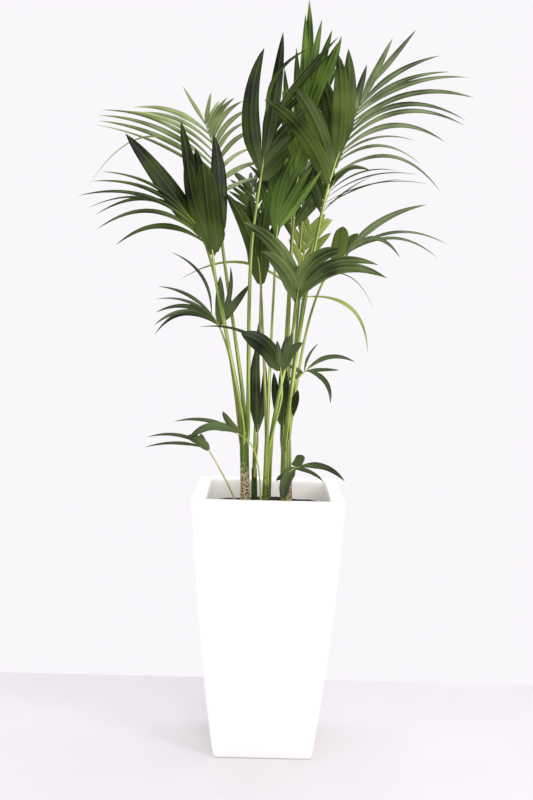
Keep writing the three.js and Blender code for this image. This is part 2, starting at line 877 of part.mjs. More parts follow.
function turned(leaflet, sideways, up, share) {
  const [{ point: root, direction, upper }] = leaflet.path;
  const edge = upper.clone().cross(direction);
  const turn = new THREE.Quaternion().setFromAxisAngle(upper, rad(sideways));
  turn.multiply(new THREE.Quaternion().setFromAxisAngle(edge, rad(up)));
  const path = leaflet.path.map((place) => ({
    point: place.point.clone().sub(root).multiplyScalar(share).applyQuaternion(turn).add(root),
    direction: place.direction.clone().applyQuaternion(turn),
    upper: place.upper.clone().applyQuaternion(turn),
  }));
  return { ...leaflet, path, length: leaflet.length * share };
}

function fitLeaflet(owner, leaflet) {
  for (const share of [1, 0.85, 0.7]) {
    for (const [sideways, up] of SIDESTEPS) {
      const tried = turned(leaflet, sideways, up, share);
      if (!isBlocked(owner, makeLeaflet(tried, GAP))) {
        return makeLeaflet(tried);
      }
    }
  }
  return null;
}

function makeFrond(name, frond, rachis) {
  const pieces = [rachis];
  for (const leaflet of leafletsOf(frond)) {
    const blade = fitLeaflet(name, leaflet);
    if (blade) {
      pieces.push(blade);
      addObstacle(name, blade);
    }
  }
  return mainBody(Manifold.union(pieces).simplify(0.01));
}

// ---------------------------------------------------------------- the scene

function addMesh(group, name, solid, origin, colour, roughness) {
  const { vertProperties, triVerts } = solid.getMesh();
  const geometry = new THREE.BufferGeometry();
  geometry.setAttribute('position', new THREE.BufferAttribute(new Float32Array(vertProperties), 3));
  geometry.setIndex(new THREE.BufferAttribute(new Uint32Array(triVerts), 1));
  geometry.translate(-origin.x, -origin.y, -origin.z);
  const material = new THREE.MeshStandardMaterial({ color: colour, roughness, metalness: 0 });
  material.flatShading = true;
  const mesh = new THREE.Mesh(geometry, material);
  mesh.name = name;
  mesh.position.copy(origin);
  group.add(mesh);
}

const group = new THREE.Group();
const pot = new THREE.Group();
const clump = new THREE.Group();
const crown = new THREE.Group();
group.add(pot, clump, crown);

addMesh(pot, 'planter', makePlanter(), vec(0, 0, 0), 0xf2f2f4, 0.35);
addMesh(pot, 'soil', makeSoil(), vec(0, 0, 0), 0x3b2c22, 0.95);

for (const [key, stem] of Object.entries(STEMS)) {
  const solid = makeStem(stem);
  addObstacle(`stem_${key}`, solid);
  addMesh(clump, `stem_${key}`, solid, vec(...stem.foot, FOOT_LEVEL), stem.colour, 0.6);
}

const feet = stalkFeet();
for (const [name, frond] of Object.entries(FRONDS)) {
  const solid = makeStalk(frond, feet[name]);
  addObstacle(`stalk_${name}`, solid);
  addMesh(clump, `stalk_${name}`, solid, feet[name], 0x8fae4e, 0.5);
}

const rachises = {};
for (const [name, frond] of Object.entries(FRONDS)) {
  rachises[name] = makeRachis(frond);
  addObstacle(name, rachises[name]);
}

for (const [name, frond] of Object.entries(FRONDS)) {
  const solid = makeFrond(name, frond, rachises[name]);
  addMesh(crown, `frond_${name}`, solid, vec(...frond.at), 0x3f6a31, 0.5);
}

export default group;
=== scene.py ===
"""A kentia palm, about 2.1 m high, in a tall white square planter.

The leaflets, stalks and stems follow the same named sizes as the solids, which are in
millimetres; meshes are made in metres. Front is towards -Y, and the origin is the middle of
the planter's flat underside.
"""

import math
import random
from functools import partial

import bpy
from mathutils import Matrix, Vector, noise


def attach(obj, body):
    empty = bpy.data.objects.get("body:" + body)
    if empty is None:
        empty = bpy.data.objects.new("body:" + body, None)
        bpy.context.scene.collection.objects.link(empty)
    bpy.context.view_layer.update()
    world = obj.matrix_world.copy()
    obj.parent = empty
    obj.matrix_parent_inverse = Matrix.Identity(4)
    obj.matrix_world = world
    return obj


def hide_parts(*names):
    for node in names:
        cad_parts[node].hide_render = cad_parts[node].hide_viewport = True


MM = 0.001
FULL_TURN = 6.28  # radians, for random turns

# ---- sizes in millimetres

PLANTER = {
    "height": 750,
    "rim_half": 210,
    "foot_half": 140.5,
    "swell": 29.5,
    "corner": 9,
    "outer_edge": 4,
    "inner_edge": 6,
    "foot_inset": 6,
    "floor": 14,
    "wall_at_foot": 14,
    "wall_at_rim": 38,
}

# mound: the heights and half widths of the soil's top
SOIL = {
    "wall_level": 684,
    "top_level": 705,
    "mound": [(690, 150), (698, 128), (702, 100), (703, 50)],
}
CRUMBS = {"count": 1500, "size": (2.5, 7), "top_level": 704, "top_radius": 118, "slope": 0.5}

STEMS = {
    "a": {"foot": (-65, -20), "top": (-74, -12, 915), "radius": (13.5, 13)},
    "b": {"foot": (-41, 45), "top": (-43, 42, 800), "radius": (9, 8)},
    "c": {"foot": (-6, -45), "top": (-2, -48, 900), "radius": (12.5, 12)},
    "d": {"foot": (58, 10), "top": (50, 14, 890), "radius": (12.5, 12)},
    "e": {"foot": (48, 75), "top": (46, 72, 885), "radius": (13, 12)},
}

NECK = 15  # bare end of the rachis below the first leaflet
ROOT_SPACING = 3  # least distance between leaflets along their rachis
SCATTER = Vector((7, 100, 7))  # how far a leaflet's tip in a row may stray to either side

# One entry a frond, with the solids' own names. stem or foot: the stem or the place in the
# soil that its stalk stands on; at: where its leaflets begin; head, rise, arch and sway: its
# rachis's direction and curve, in degrees; long: its rachis; bend: how far its stalk is pushed
# aside; radius: its stalk's at the foot; tone: its leaflets' colours; slim: their width as a
# share of the solids'.
# A leaflet is its place along the rachis, its tip, its width, how far it bows to its left as a
# share of its length, and how far its upper side turns from the front to the sky. Those in
# leaves stand alone; one in rows is a count and the leaflets between which that many run.
# Fronds behind have pairs of leaflets by rule instead, the same on both sides unless right is
# given: leaf is their length, wide their width, open their angle to the rachis at its foot and
# at its end, and limp how much they droop.
FRONDS = {
    "left_feather": dict(
        stem="a", at=(-165, 90, 1590), head=112, rise=82, arch=46, long=270, radius=6.5, seed=11,
        tone="soft", slim=0.8,
        leaves=[
            (1.0, (-285, 215, 1925), 16, 0, 0),
            (0.12, (-540, 55, 1605), 9, -0.38, 40),
        ],
        rows=[
            (7, (0.8, (-425, 220, 1860), 25, -0.12, 40),
             (0.38, (-495, 75, 1815), 24, -0.12, 40),
             (0.17, (-540, 140, 1800), 25, -0.07, 40)),
            (11, (0.98, (-200, 210, 1910), 18, 0, 0),
             (0.71, (-110, 200, 1880), 23, 0.13, 30),
             (0.39, (-60, 120, 1805), 24, 0.14, 30),
             (0.03, (-40, 150, 1665), 24, 0.06, 30)),
        ],
    ),
    "left_low": dict(
        stem="a", at=(-190, -40, 1440), head=215, rise=68, arch=30, long=110, radius=6.5, seed=12,
        tone="dark",
        leaves=[
            (0.29, (-415, -90, 1740), 59, -0.02, 0),
            (0.52, (-320, 15, 1665), 17, 0, 30),
        ],
        rows=[
            (7, (0.59, (-470, -120, 1640), 15, -0.13, 40),
             (0.42, (-540, -50, 1570), 16, -0.15, 40),
             (0.27, (-515, 10, 1520), 18, -0.24, 40),
             (0.11, (-450, -75, 1445), 19, -0.2, 40)),
        ],
    ),
    "left_upright": dict(
        stem="a", at=(-170, -60, 1410), head=180, rise=84, arch=10, long=60, radius=6, seed=13,
        tone="dark",
        leaves=[
            (0.46, (-270, -10, 1790), 51, 0.02, 0),
            (0.42, (-245, -110, 1685), 56, 0.05, 0),
            (0.26, (-230, 10, 1720), 55, 0.0, 0),
            (0.22, (-200, -120, 1665), 74, 0, 0),
            (0.11, (-175, -50, 1750), 54, -0.05, 0),
        ],
    ),
    "centre_upright": dict(
        stem="a", at=(-55, -90, 1525), head=50, rise=79, arch=0, long=270, radius=7, seed=14,
        tone="deep", slim=0.9,
        leaves=[
            (0.45, (-40, -100, 1975), 56, 0.1, 0),
            (0.52, (10, -50, 2030), 47, -0.01, 0),
            (0.93, (90, -95, 1980), 18, 0.2, 10),
            (0.98, (165, -30, 2025), 26, 0.03, 10),
            (0.85, (155, 15, 1995), 21, 0.05, 10),
        ],
        rows=[
            (4, (0.69, (110, 25, 1905), 30, 0.08, 10),
             (0.38, (35, -105, 1700), 37, 0, 0)),
        ],
    ),
    "top_back": dict(
        stem="e", at=(60, 60, 1625), head=20, rise=85, arch=0, long=290, radius=6, seed=15,
        tone="top",
        leaves=[(0.7, (180, 115, 2060), 30, -0.05, 0)],
        rows=[
            (4, (0.25, (25, 120, 1990), 30, 0.02, 0),
             (0.59, (90, 45, 2150), 36, -0.02, 0)),
            (4, (0.72, (120, 45, 2085), 29, 0, 0),
             (0.45, (180, 125, 1985), 37, 0.02, 0)),
            (4, (0.27, (10, 100, 1915), 36, 0, 0),
             (0.03, (-20, 170, 1730), 41, 0, 0)),
            (3, (0.23, (130, 140, 1920), 37, 0, 0),
             (0.09, (100, 60, 1795), 39, 0, 0)),
        ],
    ),
    "right_large": dict(
        stem="d", at=(140, -10, 1585), head=10, rise=78, arch=24, sway=25, long=400, radius=7,
        seed=16, tone="mid",
        leaves=[
            (0.15, (465, -5, 1610), 18, 0.26, 30),
            (0.28, (395, 35, 1755), 11, 0.15, 30),
        ],
        rows=[
            (5, (0.08, (-30, -100, 1830), 53, -0.09, 0),
             (0.22, (115, 25, 1950), 61, -0.05, 0),
             (0.34, (195, -30, 1990), 48, -0.04, 0)),
            (3, (0.52, (250, -10, 1970), 26, 0, 0),
             (0.88, (380, 60, 2060), 20, 0, 0)),
            (9, (0.69, (460, 80, 2000), 20, 0.09, 25),
             (0.58, (540, -45, 1890), 17, 0.12, 30),
             (0.42, (550, 65, 1820), 21, 0.19, 30),
             (0.25, (410, -85, 1690), 19, 0.22, 30)),
        ],
    ),
    "right_fine": dict(
        stem="e", at=(135, 110, 1545), head=15, rise=74, arch=10, long=110, radius=4.5, seed=17,
        tone="dark",
        leaves=[(0.84, (280, 140, 1680), 22, 0.26, 20)],
        rows=[
            (5, (0.67, (365, 175, 1675), 7, 0.13, 30),
             (0.35, (440, 85, 1640), 7, 0.1, 30),
             (0.06, (295, 170, 1665), 7, 0.05, 30)),
            (3, (0.35, (120, 175, 1690), 19, 0, 0),
             (0.03, (90, 100, 1630), 17, 0, 0)),
        ],
    ),
    "right_low": dict(
        stem="d", at=(180, 50, 1405), head=5, rise=50, arch=20, long=60, bend=(0, 10), radius=5,
        seed=18, tone="mid",
        leaves=[
            (0.07, (195, 30, 1510), 49, -0.02, 0),
            (0.38, (245, 100, 1495), 30, 0.05, 0),
            (0.42, (440, 70, 1580), 27, 0.11, 15),
            (0.69, (510, 125, 1470), 13, 0.16, 35),
            (0.66, (465, 0, 1425), 13, 0.2, 35),
            (0.59, (355, -40, 1420), 16, 0.3, 35),
        ],
    ),
    "front_arching": dict(
        stem="c", at=(65, -120, 1290), head=275, rise=62, arch=34, long=60, radius=6.5, seed=19,
        tone="gloss",
        leaves=[
            (0.04, (-35, -230, 1425), 44, -0.1, 20),
            (0.38, (-90, -165, 1505), 43, -0.13, 10),
            (0.78, (180, -170, 1435), 45, 0.17, 20),
            (0.41, (275, -235, 1395), 31, 0.2, 25),
            (0.16, (295, -275, 1360), 34, 0.2, 25),
            (0.81, (275, -120, 1280), 7, 0.33, 40),
        ],
    ),
    "centre_inner": dict(
        stem="c", at=(5, -70, 1450), head=60, rise=86, arch=10, long=130, radius=5, seed=20,
        tone="fresh",
        rows=[
            (7, (0.26, (-40, -5, 1635), 32, 0, 0),
             (0.18, (45, -120, 1695), 37, 0.08, 0),
             (0.31, (125, -25, 1660), 25, 0.0, 0)),
        ],
    ),
    "centre_low": dict(
        stem="c", at=(-35, -40, 1330), head=250, rise=80, arch=20, long=90, radius=5.5, seed=21,
        tone="dark",
        leaves=[
            (0.1, (-140, -60, 1590), 47, -0.07, 0),
            (0.12, (-70, -10, 1585), 61, 0, 0),
            (0.14, (-25, -80, 1555), 44, 0.02, 0),
            (0.4, (25, 10, 1545), 35, 0.03, 0),
        ],
    ),
    "left_small": dict(
        stem="a", at=(-145, -10, 1203), head=180, rise=68, arch=20, long=60, bend=(0, 20),
        radius=4.5, seed=22, tone="cool",
        leaves=[
            (0.95, (-295, 20, 1425), 12, -0.17, 30),
            (0.18, (-150, -40, 1360), 28, 0, 0),
            (0.3, (-65, 20, 1340), 26, 0, 0),
            (0.38, (-125, 50, 1390), 18, -0.08, 0),
        ],
        rows=[
            (5, (0.81, (-335, 40, 1325), 14, -0.09, 30),
             (0.53, (-330, -70, 1245), 19, -0.18, 30),
             (0.32, (-340, 10, 1190), 19, -0.24, 30)),
        ],
    ),
    "right_slender": dict(
        stem="d", at=(85, 60, 1290), head=0, rise=85, arch=0, long=20, radius=4.5, seed=26,
        tone="pale",
        leaves=[
            (0.35, (-280, 120, 1345), 13, -0.22, 40),
            (0.84, (275, 0, 1150), 20, 0.27, 40),
        ],
    ),
    "front_small": dict(
        stem="c", at=(30, -110, 1055), head=250, rise=80, arch=10, long=60, radius=5, seed=23,
        tone="cool",
        leaves=[
            (0.73, (-200, -210, 1220), 15, -0.175, 15),
            (0.85, (-85, -180, 1205), 52, -0.12, 10),
        ],
        rows=[
            (4, (0.95, (20, -85, 1190), 18, 0, 0),
             (0.9, (50, -125, 1220), 20, 0, 0),
             (0.75, (85, -170, 1175), 30, 0.1, 0)),
        ],
    ),
    "spear_left": dict(
        stem="b", at=(-35, 30, 895), head=90, rise=88, arch=0, long=40, radius=5, seed=27,
        tone="cool",
        leaves=[
            (0.71, (-40, 30, 1230), 26, 0.02, 0),
            (0.42, (-50, 50, 1145), 29, 0.03, 0),
            (0.56, (-20, 10, 1125), 26, -0.03, 0),
        ],
    ),
    "spear_right": dict(
        foot=(42, 44), at=(40, 50, 915), head=90, rise=88, arch=0, long=40, radius=5, seed=28,
        tone="cool",
        leaves=[(0.51, (35, 50, 1115), 36, 0, 0)],
        rows=[
            (3, (0.2, (15, 30, 1090), 29, 0.03, 0),
             (0.49, (80, 70, 1050), 29, -0.03, 0)),
        ],
    ),
    "right_small": dict(
        stem="d", at=(90, 20, 1085), head=0, rise=48, arch=20, long=35, radius=4, seed=24,
        tone="cool",
        leaves=[
            (0.25, (135, 20, 1175), 9, 0.1, 0),
            (0.53, (245, 50, 1120), 16, 0.18, 20),
            (0.32, (195, -10, 1100), 12, 0.03, 20),
            (0.45, (170, -30, 1005), 16, 0.2, 20),
            (0.08, (45, 40, 1110), 12, 0, 0),
            (0.0, (45, 20, 1065), 12, 0, 0),
        ],
    ),
    "shoot_left": dict(
        foot=(-89, -60), at=(-170, -60, 865), head=160, rise=56, arch=20, long=20, radius=3,
        seed=30, tone="cool",
        leaves=[
            (0.57, (-345, -95, 905), 13, -0.12, 30),
            (0.46, (-360, -20, 865), 12, -0.08, 30),
            (0.17, (-235, -90, 910), 25, -0.1, 10),
            (0.28, (-195, -60, 915), 19, 0.1, 0),
        ],
    ),
    "shoot_front": dict(
        foot=(-18, -80), at=(-70, -70, 905), head=170, rise=40, arch=10, long=30, radius=3,
        seed=31, tone="cool",
        leaves=[
            (0.89, (-275, -45, 945), 17, -0.115, 30),
            (0.96, (-230, -95, 900), 25, -0.2, 10),
            (0.87, (-135, -65, 980), 21, 0.05, 0),
        ],
    ),
    "shoot_right": dict(
        foot=(57, -42), at=(70, -60, 820), head=10, rise=34, arch=30, long=20, radius=3, seed=32,
        tone="cool",
        leaves=[
            (0.36, (95, -60, 860), 31, 0, 0),
            (0.82, (215, -75, 790), 19, 0.16, 20),
            (0.0, (155, -100, 790), 15, 0.1, 20),
            (0.02, (45, -90, 740), 34, -0.1, 0),
            (0.04, (20, -60, 785), 18, 0, 0),
        ],
    ),
    "back_tall": dict(
        stem="e", at=(50, 125, 1485), head=95, rise=78, arch=46, long=330, bend=(-5, 5),
        radius=5.5, seed=41, tone="dark",
        left=dict(pairs=9, leaf=230, wide=28, open=(28, 14), limp=0.9),
    ),
    "back_right": dict(
        stem="e", at=(85, 115, 1400), head=70, rise=78, arch=30, long=120, radius=5, seed=42,
        tone="pale",
        left=dict(pairs=4, leaf=110, wide=24, open=(36, 24), limp=0.8),
        right=dict(pairs=4, leaf=125, wide=26, open=(44, 26), limp=0.8),
    ),
    # back_left stands in the crown's shadow, so its leaflets take the deepest tone as painted
    # shade
    "back_left": dict(
        stem="b", at=(-40, 105, 1480), head=112, rise=80, arch=40, long=190, radius=5, seed=43,
        tone="deep", slim=1.3,
        left=dict(pairs=9, leaf=115, wide=13, open=(60, 30), limp=0.6),
        right=dict(pairs=9, leaf=115, wide=13, open=(45, 24), limp=0.6),
    ),
    "back_high": dict(
        stem="e", at=(80, 150, 1515), head=84, rise=74, arch=50, long=265, radius=5.5, seed=44,
        tone="dark",
        left=dict(pairs=8, leaf=240, wide=28, open=(28, 14), limp=1.2),
    ),
}

# ---- the frame and the camera

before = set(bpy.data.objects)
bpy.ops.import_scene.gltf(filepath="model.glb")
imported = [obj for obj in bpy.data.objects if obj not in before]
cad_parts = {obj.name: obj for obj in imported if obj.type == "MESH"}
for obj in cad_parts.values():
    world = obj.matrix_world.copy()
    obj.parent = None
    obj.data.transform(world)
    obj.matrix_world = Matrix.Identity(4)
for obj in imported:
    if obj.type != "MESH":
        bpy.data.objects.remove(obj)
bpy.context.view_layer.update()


def deselect_all():
    bpy.ops.object.select_all(action="DESELECT")


def link_object(name, data):
    thing = bpy.data.objects.new(name, data)
    bpy.context.scene.collection.objects.link(thing)
    return thing


def add_camera():
    """A 50 mm lens 3.2 m in front and 1.3 m above the floor, tilted down and rolled."""
    data = bpy.data.cameras.new("camera")
    data.lens = 50
    data.sensor_width = 36
    data.clip_end = 100
    camera = link_object("camera", data)
    pitch, roll = math.radians(5.52), math.radians(1.37)
    ahead = Vector((0, math.cos(pitch), -math.sin(pitch)))
    up = Vector((0, math.sin(pitch), math.cos(pitch)))
    right = Vector((1, 0, 0))
    turned_right = right * math.cos(roll) + up * math.sin(roll)
    turned_up = up * math.cos(roll) - right * math.sin(roll)
    basis = Matrix((turned_right, turned_up, -ahead)).transposed()
    camera.matrix_world = Matrix.Translation((-0.0117, -3.18, 1.316)) @ basis.to_4x4()
    bpy.context.scene.camera = camera


deselect_all()
add_camera()

# ---- materials


def linear(hex_colour):
    """An sRGB hex colour as linear red, green, blue and alpha."""
    values = []
    for i in (1, 3, 5):
        c = int(hex_colour[i:i + 2], 16) / 255
        values.append(c / 12.92 if c <= 0.04045 else ((c + 0.055) / 1.055) ** 2.4)
    return (*values, 1.0)


def add_node(tree, kind, inputs=None, stops=(), **settings):
    """Adds a node. An input is a value, or an output or a node's first output to link to it.

    stops are a colour ramp's two places with their hex colours.
    """
    node = tree.nodes.new(kind)
    for key, value in settings.items():
        setattr(node, key, value)
    for key, value in (inputs or {}).items():
        if isinstance(value, bpy.types.Node):
            value = value.outputs[0]
        if isinstance(value, bpy.types.NodeSocket):
            tree.links.new(value, node.inputs[key])
        else:
            node.inputs[key].default_value = value
    for i, (place, colour) in enumerate(stops):
        node.color_ramp.elements[i].position = place
        node.color_ramp.elements[i].color = linear(colour)
    return node


def new_material(name):
    """A material, and the function that adds nodes to it."""
    material = bpy.data.materials.new(name)
    material.use_nodes = True
    material.node_tree.nodes.clear()
    return material, partial(add_node, material.node_tree)


def finish_material(material, shader):
    add_node(material.node_tree, "ShaderNodeOutputMaterial", {"Surface": shader})
    return material


def blade_map(add, squeeze):
    """A limb's own map, in millimetres across and along it: whole, split, and squeezed along
    its length so that a pattern on it becomes streaks."""
    place = add("ShaderNodeUVMap", uv_map="blade")
    split = add("ShaderNodeSeparateXYZ", {"Vector": place})
    streaky = add("ShaderNodeMapping", {"Vector": place, "Scale": (1.0, squeeze, 1.0)})
    return place, split, streaky


def leaf_material(name, deep, light):
    """Living leaf blade: waxy cuticle over parallel veins, with a paler midrib and root."""
    material, add = new_material(name)
    _, split, streaky = blade_map(add, 0.004)
    # soft bands about 10 mm wide and veins about 2 mm apart run the blade's whole length
    bands, veins = [add("ShaderNodeTexNoise", {"Vector": streaky, "Scale": scale, "Detail": 1.0},
                        noise_dimensions="2D") for scale in (0.1, 0.45)]
    # patches about 100 mm wide, so that no two leaflets are alike
    space = add("ShaderNodeTexCoord")
    patches = add("ShaderNodeTexNoise",
                  {"Vector": space.outputs["Object"], "Scale": 10.0, "Detail": 1.0})
    blend = add("ShaderNodeMix", {"Factor": 0.5, 2: bands, 3: patches}, data_type="FLOAT")
    # the blade darkens from 80 mm off its root to 300 mm
    ageing = add("ShaderNodeMapRange",
                 {"Value": split.outputs["Y"], "From Min": 80.0, "From Max": 300.0,
                  "To Min": 0.03, "To Max": -0.055})
    shade = add("ShaderNodeMath", {0: blend, 1: ageing}, operation="ADD")
    colour = add("ShaderNodeValToRGB", {"Fac": shade}, [(0.38, deep), (0.62, light)])
    # the midrib is a paler line about 1.4 mm wide
    off_rib = add("ShaderNodeMath", {0: split.outputs["X"]}, operation="ABSOLUTE")
    rib = add("ShaderNodeMapRange",
              {"Value": off_rib, "From Min": 0.3, "From Max": 1.1, "To Min": 0.11, "To Max": 0.0})
    # the blade is paler over the first 90 mm from its root
    root = add("ShaderNodeMapRange",
               {"Value": split.outputs["Y"], "From Max": 90.0, "To Min": 0.24, "To Max": 0.0})
    paler = add("ShaderNodeMath", {0: rib, 1: root}, operation="MAXIMUM")
    tinted = add("ShaderNodeMix",
                 {"Factor": paler, 6: colour, 7: linear("#7d9450")}, data_type="RGBA")
    bump = add("ShaderNodeBump", {"Height": veins, "Strength": 0.4, "Distance": 0.0008})
    shader = add("ShaderNodeBsdfPrincipled",
                 {"Base Color": tinted.outputs[2], "Normal": bump, "Roughness": 0.33,
                  "IOR": 1.4, "Specular IOR Level": 0.16})
    return finish_material(material, shader)


def stalk_material(name, deep, light, shade_and_edge_colour):
    """Living leaf stalk: smooth, faintly streaked lengthwise, with painted shade on one side."""
    material, add = new_material(name)
    _, split, streaky = blade_map(add, 0.015)
    # streaks about 3 mm wide
    streaks = add("ShaderNodeTexNoise", {"Vector": streaky, "Scale": 0.35, "Detail": 3.0},
                  noise_dimensions="2D")
    colour = add("ShaderNodeValToRGB", {"Fac": streaks}, [(0.4, deep), (0.58, light)])
    # the far side is darkened as painted shade; for olive stalks also their own brown edge
    # the painted shade fades in between 9 and 14 mm round the limb
    band = add("ShaderNodeMapRange",
               {"Value": split.outputs["X"], "From Min": 9.0, "From Max": 14.0, "To Max": 0.75})
    tinted = add("ShaderNodeMix", {"Factor": band, 6: colour, 7: linear(shade_and_edge_colour)}, data_type="RGBA")
    bump = add("ShaderNodeBump", {"Height": streaks, "Strength": 0.3, "Distance": 0.0006})
    shader = add("ShaderNodeBsdfPrincipled",
                 {"Base Color": tinted.outputs[2], "Normal": bump, "Roughness": 0.42,
                  "IOR": 1.45, "Specular IOR Level": 0.28, "Subsurface Weight": 0.1,
                  "Subsurface Radius": (1.0, 1.4, 0.3), "Subsurface Scale": 0.003})
    return finish_material(material, shader)


def stem_material(name, foot_dark, foot_light, green_deep, green_light, change):
    """Sheathed palm stem: smooth green sheaths above, dried ones with scars below.

    change is the height in millimetres above the soil where the dry, speckled part ends.
    """
    material, add = new_material(name)
    place, split, streaky = blade_map(add, 0.02)
    # the dry part's upper end is ragged over some 60 mm; its speckles are 2 to 5 mm across
    ragged, speckle = [add("ShaderNodeTexNoise",
                           {"Vector": place, "Scale": scale, "Detail": detail},
                           noise_dimensions="2D")
                       for scale, detail in ((0.08, 3.0), (0.22, 4.0))]
    height = add("ShaderNodeMath", {0: ragged, 1: -100.0, 2: split.outputs["Y"]},
                 operation="MULTIPLY_ADD")
    part = add("ShaderNodeMapRange",
               {"Value": height, "From Min": change - 58.0, "From Max": change - 42.0})
    dry = add("ShaderNodeValToRGB", {"Fac": speckle}, [(0.42, foot_dark), (0.6, foot_light)])
    # streaks about 3 mm wide on the green sheaths
    streaks = add("ShaderNodeTexNoise", {"Vector": streaky, "Scale": 0.3, "Detail": 3.0},
                  noise_dimensions="2D")
    green = add("ShaderNodeValToRGB", {"Fac": streaks}, [(0.4, green_deep), (0.6, green_light)])
    mixed = add("ShaderNodeMix", {"Factor": part, 6: dry, 7: green}, data_type="RGBA")
    bump = add("ShaderNodeBump", {"Height": speckle, "Strength": 0.4, "Distance": 0.0012})
    shader = add("ShaderNodeBsdfPrincipled",
                 {"Base Color": mixed.outputs[2], "Normal": bump, "Roughness": 0.55,
                  "IOR": 1.45, "Specular IOR Level": 0.28})
    return finish_material(material, shader)


def planter_material():
    """Rotation-moulded white polyethylene with a satin gloss and a faint orange peel."""
    material, add = new_material("moulded_white_plastic")
    space = add("ShaderNodeTexCoord")
    # orange peel about 3 mm across, and clouds of colour and gloss about 170 mm across
    peel, cloud = [add("ShaderNodeTexNoise",
                       {"Vector": space.outputs["Object"], "Scale": scale, "Detail": 2.0})
                   for scale in (330.0, 6.0)]
    colour = add("ShaderNodeValToRGB", {"Fac": cloud}, [(0.2, "#fbf8f3"), (0.8, "#fcf9f4")])
    rough = add("ShaderNodeMapRange", {"Value": cloud, "To Min": 0.27, "To Max": 0.3})
    bump = add("ShaderNodeBump", {"Height": peel, "Strength": 0.06, "Distance": 0.0004})
    shader = add("ShaderNodeBsdfPrincipled",
                 {"Base Color": colour, "Roughness": rough, "Normal": bump, "IOR": 1.5,
                  "Subsurface Weight": 0.5, "Subsurface Radius": (1.0, 0.95, 0.85),
                  "Subsurface Scale": 0.04})
    return finish_material(material, shader)


def soil_material():
    """Damp potting compost: peat and composted bark, near black, dull."""
    material, add = new_material("peat_and_bark_compost")
    space = add("ShaderNodeTexCoord")
    # grains about 4 mm across
    grains = add("ShaderNodeTexNoise",
                 {"Vector": space.outputs["Object"], "Scale": 260.0, "Detail": 4.0})
    colour = add("ShaderNodeValToRGB", {"Fac": grains}, [(0.35, "#1c1510"), (0.7, "#4a3627")])
    bump = add("ShaderNodeBump", {"Height": grains, "Strength": 0.8, "Distance": 0.002})
    shader = add("ShaderNodeBsdfPrincipled",
                 {"Base Color": colour, "Normal": bump, "Roughness": 0.9, "IOR": 1.45})
    return finish_material(material, shader)


def studio_material():
    """Matt white studio paper, very faintly mottled."""
    material, add = new_material("matt_white_paper")
    space = add("ShaderNodeTexCoord")
    mottle = add("ShaderNodeTexNoise",
                 {"Vector": space.outputs["Object"], "Scale": 3.0, "Detail": 2.0})
    colour = add("ShaderNodeValToRGB", {"Fac": mottle}, [(0.3, "#d1ced1"), (0.7, "#d4d1d4")])
    shader = add("ShaderNodeBsdfPrincipled",
                 {"Base Color": colour, "Roughness": 0.85, "IOR": 1.45})
    return finish_material(material, shader)


# three shades of each tone: usual narrow leaflets, paler narrow ones and broad ones
LEAF_TONES = {
    "deep": [("#0c1504", "#374915"), ("#121b06", "#40521c"), ("#080e02", "#2d3d0d")],
    "dark": [("#161d08", "#455323"), ("#1b240b", "#4e5e2b"), ("#0e1404", "#3a4917")],
    "mid": [("#313a21", "#7a885f"), ("#3b4529", "#88956c"), ("#1a240b", "#4b5d23")],
    "soft": [("#49552a", "#919f6b"), ("#546133", "#a0ae79"), ("#424f28", "#8b9a68")],
    "fresh": [("#182609", "#48611e"), ("#253a0d", "#5d7929"), ("#152308", "#425b1a")],
    "top": [("#2b400e", "#6c8934"), ("#344c14", "#79973f"), ("#25380c", "#627f2c")],
    "gloss": [("#2b3617", "#6a7b4b"), ("#34401e", "#7a8a56"), ("#222e10", "#637641")],
    "pale": [("#68792f", "#9da95a"), ("#768838", "#abb866"), ("#5b6c28", "#8f9f50")],
    "cool": [("#1c2312", "#4f5d3a"), ("#222b18", "#5a6943"), ("#14190c", "#3b4829")],
}
leaf_materials = {
    tone: [leaf_material(f"kentia_leaf_{tone}_{i + 1}", *colours)
           for i, colours in enumerate(shades)]
    for tone, shades in LEAF_TONES.items()
}
# the last colour is painted shade on a stalk's far side; the olive one's is partly its brown edge
green_stalk = stalk_material("leaf_stalk_green", "#4c6318", "#bccd6c", "#44541c")
olive_stalk = stalk_material("leaf_stalk_olive", "#56641f", "#b9c26b", "#5c3f27")

# ---- mesh helpers


def mesh_piece(name, skin, materials, picks=None):
    """A piece from its skin, its materials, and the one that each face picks.

    A skin is points in millimetres, faces, and each point's place on the UV map.
    """
    points, faces, uvs = skin
    mesh = bpy.data.meshes.new(name)
    mesh.from_pydata([p * MM for p in points], [], faces)
    layer = mesh.uv_layers.new(name="blade")
    for loop in mesh.loops:
        layer.data[loop.index].uv = uvs[loop.vertex_index]
    for material in materials:
        mesh.materials.append(material)
    mesh.polygons.foreach_set("material_index", picks or [0] * len(faces))
    mesh.polygons.foreach_set("use_smooth", [True] * len(faces))
    mesh.update()
    piece = link_object(name, mesh)
    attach(piece, "root")
    return piece


def loft(rings, skin=None):
    """A closed form over rings of (point, uv), in a skin that is given or new.

    The last ring may be a single point.
    """
    points, faces, uvs = skin = skin or ([], [], [])
    starts = []
    for ring in rings:
        starts.append(len(points))
        for point, uv in ring:
            points.append(point)
            uvs.append(uv)
    for ring, after, a, b in zip(rings, rings[1:], starts, starts[1:]):
        for i in range(len(ring)):
            j = (i + 1) % len(ring)
            if len(after) == 1:
                faces.append((a + j, a + i, b))
            else:
                faces.append((a + j, a + i, b + i, b + j))
    faces.append(tuple(starts[0] + i for i in range(len(rings[0]))))
    if len(rings[-1]) > 1:
        faces.append(tuple(starts[-1] + i for i in reversed(range(len(rings[-1])))))
    return skin


def round_limb(count):
    """Angles of places round a limb, in the order that makes its skin face outwards."""
    return [-2 * math.pi * i / count for i in range(count)]


def unit(v):
    return v.normalized()


